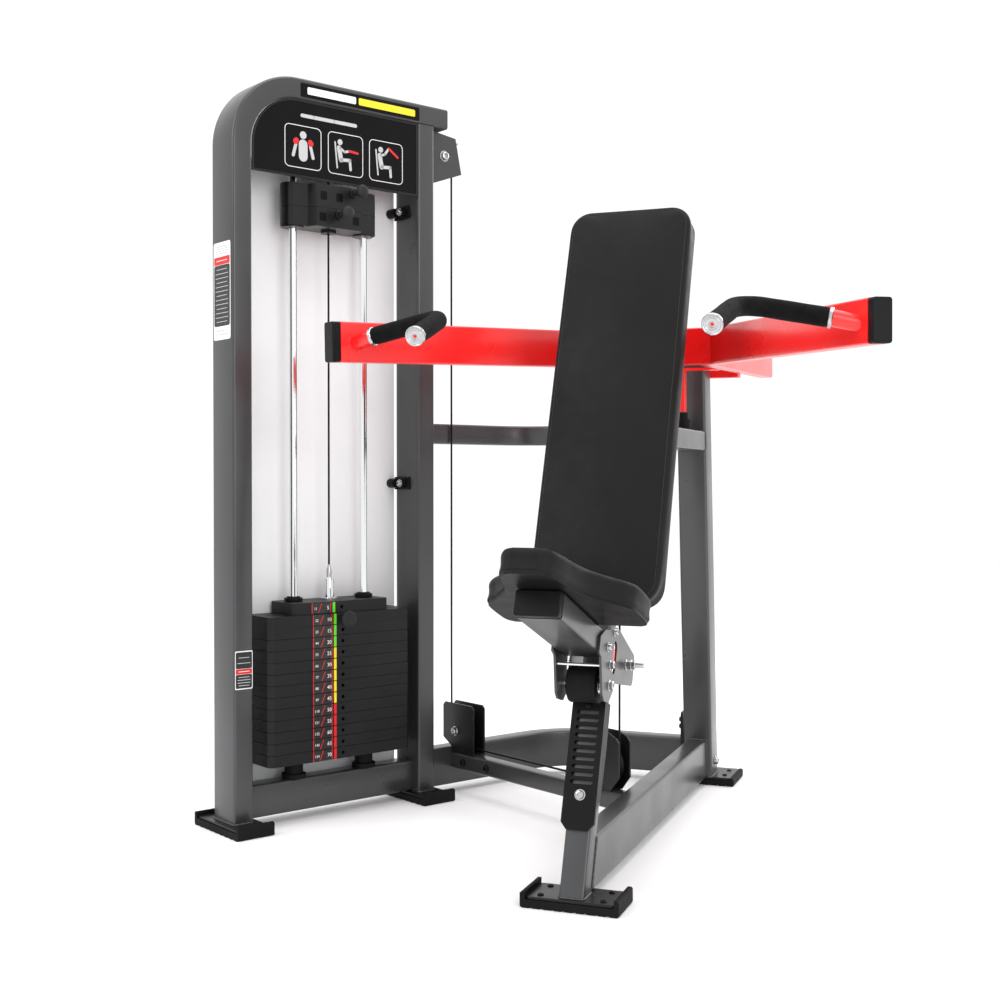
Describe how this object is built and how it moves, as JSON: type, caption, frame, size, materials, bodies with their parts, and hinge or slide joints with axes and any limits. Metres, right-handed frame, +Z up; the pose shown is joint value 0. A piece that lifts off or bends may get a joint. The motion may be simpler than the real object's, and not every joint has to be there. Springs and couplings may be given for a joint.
{
  "type": "shoulder press machine",
  "caption": "Seated shoulder press station with a tilting seat and backrest, a pivoting press arm and a cable-driven weight stack in a side tower.",
  "frame": {"origin": "on the floor under the middle of the front foot", "axes": "+Z up, the seated user faces -Y, +X is the user's left and the weight tower is at -X"},
  "size_m": [1.5962, 1.7878, 1.755],
  "materials": {
    "frame_grey": "satin powder coat",
    "arm_red": "satin powder coat",
    "black_steel": "satin",
    "plate_iron": "matte black paint",
    "rubber": "matte",
    "grip_foam": "matte foam",
    "black_plastic": "fine texture",
    "leatherette": "fine grain",
    "chrome": "polished",
    "frosted_guard": "frosted"
  },
  "bodies": {
    "frame": {"base_beam": "frame_grey", "front_post": "frame_grey", "rear_upright": "frame_grey", "link_tube": "frame_grey", "base_side_tube": "frame_grey", "mid_side_tube": "frame_grey", "cable_beam": "frame_grey", "tower_hoop": "frame_grey", "tower_right_post": "frame_grey", "tower_low_beam": "frame_grey", "top_bracket": "frame_grey", "low_bracket_tower": "black_steel", "low_bracket_seat": "black_steel", "main_cable": "black_steel", "stack_cable": "black_steel", "weight_plates_rest": "plate_iron", "front_boot": "rubber", "rear_boot": "rubber", "tower_boot_left": "rubber", "tower_boot_right": "rubber", "stack_bumper_left": "rubber", "stack_bumper_right": "rubber", "stop_bumper": "rubber", "header_panel": "black_plastic", "ladder_cover": "black_plastic", "backrest_pad": "leatherette", "guide_rod_left": "chrome", "guide_rod_right": "chrome", "rear_guard": "frosted_guard"},
    "press_arm": {"arm_cross_tube": "arm_red", "arm_front_tube_left": "arm_red", "arm_front_tube_right": "arm_red", "arm_rear_tube_left": "arm_red", "arm_rear_tube_right": "arm_red", "arm_rear_bar": "arm_red", "cable_cam": "arm_red", "stop_tab": "arm_red", "grip_foam_left": "grip_foam", "grip_foam_right": "grip_foam", "arm_end_cap_left": "black_plastic", "arm_end_cap_right": "black_plastic", "pivot_shaft": "chrome"},
    "weight_stack": {"stack_top_plate": "plate_iron", "selector_stem": "chrome", "weight_plate_01": "plate_iron"},
    "selector_pin": {"selector_pin": "black_plastic"},
    "pulley_header": {"pulley_header": "black_plastic"},
    "pulley_top": {"pulley_top": "black_plastic"},
    "pulley_low_tower": {"pulley_low_tower": "black_plastic"},
    "pulley_low_seat": {"pulley_low_seat": "black_plastic"},
    "addon_low": {"addon_weight_low": "black_steel"},
    "addon_high": {"addon_weight_high": "black_steel"},
    "knob_low": {"addon_knob_low": "black_plastic"},
    "knob_high": {"addon_knob_high": "black_plastic"},
    "seat": {"seat_pad": "leatherette", "seat_tube": "frame_grey", "seat_side_plate_left": "frame_grey", "seat_side_plate_right": "frame_grey"},
    "seat_roller": {"seat_roller": "rubber"},
    "seat_lever": {"seat_release_lever": "arm_red"}
  },
  "joints": [
    {"name": "press_arm_lift", "type": "hinge", "parent": "frame", "child": "press_arm", "pos_m": [0, 1.019, 1.132], "axis": [-1, 0, 0], "range_deg": [0, 38]},
    {"name": "stack_lift", "type": "slide", "parent": "frame", "child": "weight_stack", "axis": [0, 0, 1], "range_m": [0, 0.348], "deforming": ["stack_cable"]},
    {"name": "selector_pin_pull", "type": "slide", "parent": "weight_stack", "child": "selector_pin", "axis": [0.866, -0.5, 0], "range_m": [0, 0.08]},
    {"name": "pulley_header_spin", "type": "hinge", "parent": "frame", "child": "pulley_header", "pos_m": [-0.7593, 0.51574, 1.643], "axis": [-0.866, 0.5, 0], "range_deg": [0, 500]},
    {"name": "pulley_top_spin", "type": "hinge", "parent": "frame", "child": "pulley_top", "pos_m": [-0.6113, 0.77208, 1.643], "axis": [-0.866, 0.5, 0], "range_deg": [0, 500]},
    {"name": "pulley_low_tower_spin", "type": "hinge", "parent": "frame", "child": "pulley_low_tower", "pos_m": [-0.55579, 0.78623, 0.163], "axis": [-0.5, -0.866, 0], "range_deg": [0, 500]},
    {"name": "pulley_low_seat_spin", "type": "hinge", "parent": "frame", "child": "pulley_low_seat", "pos_m": [-0.08641, 0.51523, 0.163], "axis": [-0.5, -0.866, 0], "range_deg": [0, 500]},
    {"name": "addon_low_drop", "type": "slide", "parent": "frame", "child": "addon_low", "axis": [0, 0, -1], "range_m": [0, 0.44]},
    {"name": "addon_high_drop", "type": "slide", "parent": "frame", "child": "addon_high", "axis": [0, 0, -1], "range_m": [0, 0.44]},
    {"name": "knob_low_pull", "type": "slide", "parent": "addon_low", "child": "knob_low", "axis": [0.866, -0.5, 0], "range_m": [0, 0.01], "stiffness_N_per_m": 600, "springref_m": -0.005},
    {"name": "knob_high_pull", "type": "slide", "parent": "addon_high", "child": "knob_high", "axis": [0.866, -0.5, 0], "range_m": [0, 0.01], "stiffness_N_per_m": 600, "springref_m": -0.005},
    {"name": "seat_height", "type": "slide", "parent": "frame", "child": "seat", "axis": [0, 0.342, 0.9397], "range_m": [-0.135, 0]},
    {"name": "seat_roller_turn", "type": "hinge", "parent": "seat", "child": "seat_roller", "pos_m": [0, 0.05759, 0.41614], "axis": [1, 0, 0], "range_deg": [0, 205]},
    {"name": "seat_lever_swing", "type": "hinge", "parent": "seat", "child": "seat_lever", "pos_m": [0.038, 0.10061, 0.48668], "axis": [1, 0, 0], "range_deg": [0, 8], "stiffness_Nm_per_rad": 3, "springref_deg": -11.46}
  ],
  "couplings": [
    {"joint": "stack_lift", "follows": "press_arm_lift", "m_per_rad": 0.524},
    {"joint": "pulley_header_spin", "follows": "press_arm_lift", "ratio": 13.1},
    {"joint": "pulley_top_spin", "follows": "press_arm_lift", "ratio": 13.1},
    {"joint": "pulley_low_tower_spin", "follows": "press_arm_lift", "ratio": 13.1},
    {"joint": "pulley_low_seat_spin", "follows": "press_arm_lift", "ratio": 13.1},
    {"joint": "addon_high_drop", "follows": "addon_low_drop", "ratio": 1},
    {"joint": "seat_roller_turn", "follows": "seat_height", "rad_per_m": -26.316}
  ]
}
